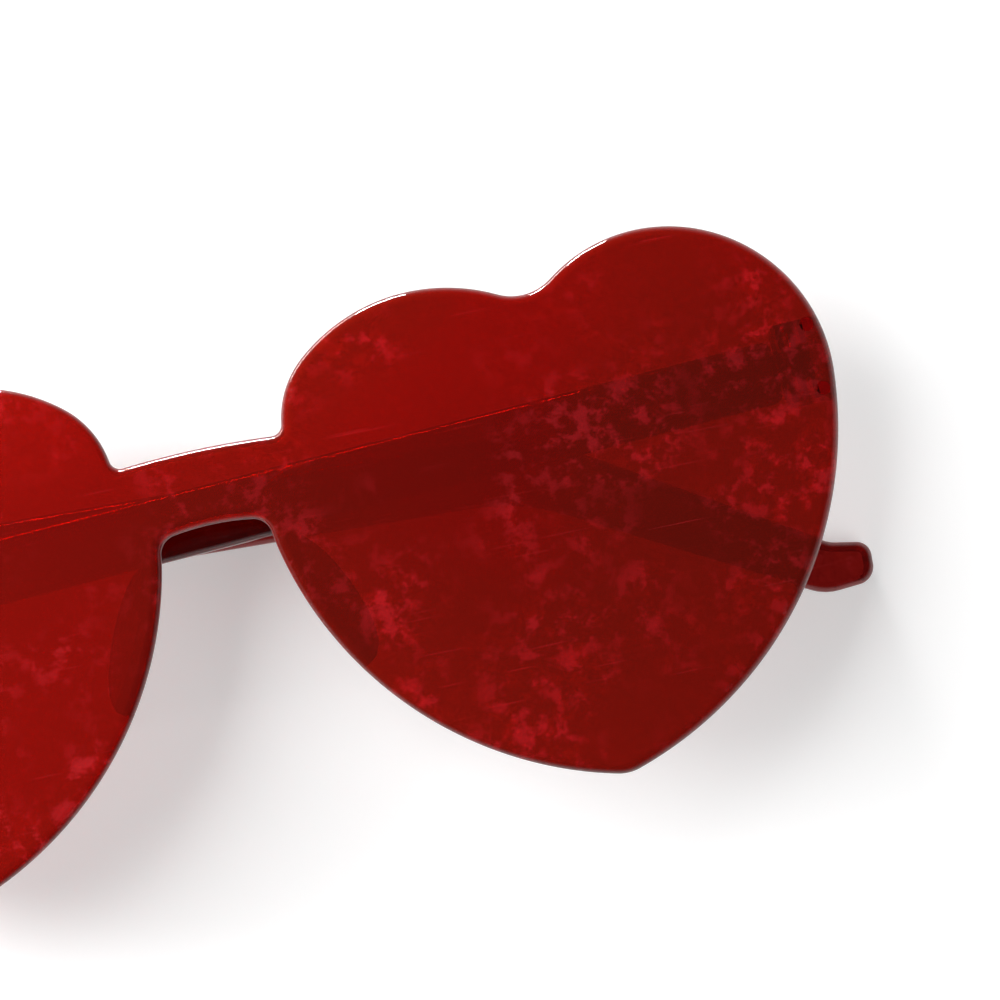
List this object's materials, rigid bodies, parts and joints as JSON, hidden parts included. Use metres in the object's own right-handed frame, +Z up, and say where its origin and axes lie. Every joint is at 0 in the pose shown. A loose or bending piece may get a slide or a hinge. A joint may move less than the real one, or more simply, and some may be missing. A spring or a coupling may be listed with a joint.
{
  "type": "heart shaped sunglasses",
  "caption": "Folding sunglasses with a one-piece clear red front of heart lenses joined by a bridge, hooked temples on screw hinges and moulded nose pads.",
  "frame": {"origin": "on the surface the folded glasses lie on, under the middle of their box", "axes": "+X to the right as seen from the front, +Y towards the top of the hearts, +Z up, out of the front"},
  "size_m": [0.1494, 0.0612, 0.0189],
  "materials": {
    "red_sheet": "polished clear red",
    "red_frame": "polished clear red",
    "screw_steel": "turned and polished"
  },
  "bodies": {
    "front": {"lens_front": "red_sheet", "left_end_block": "red_frame", "right_end_block": "red_frame", "left_lens_pegs": "red_frame", "right_lens_pegs": "red_frame", "left_hinge_screw": "screw_steel", "right_hinge_screw": "screw_steel", "left_nose_pad": "red_frame", "right_nose_pad": "red_frame"},
    "left_temple": {"left_temple": "red_frame"},
    "right_temple": {"right_temple": "red_frame"}
  },
  "joints": [
    {"name": "left_temple_hinge", "type": "hinge", "parent": "front", "child": "left_temple", "pos_m": [-0.06977, 0.01196, 0.0032], "axis": [0.0419, 0.9991, 0], "range_deg": [0, 90.9]},
    {"name": "right_temple_hinge", "type": "hinge", "parent": "front", "child": "right_temple", "pos_m": [0.06977, 0.01197, 0.00709], "axis": [0.0418, -0.9991, 0.0023], "range_deg": [0, 94.1]}
  ]
}
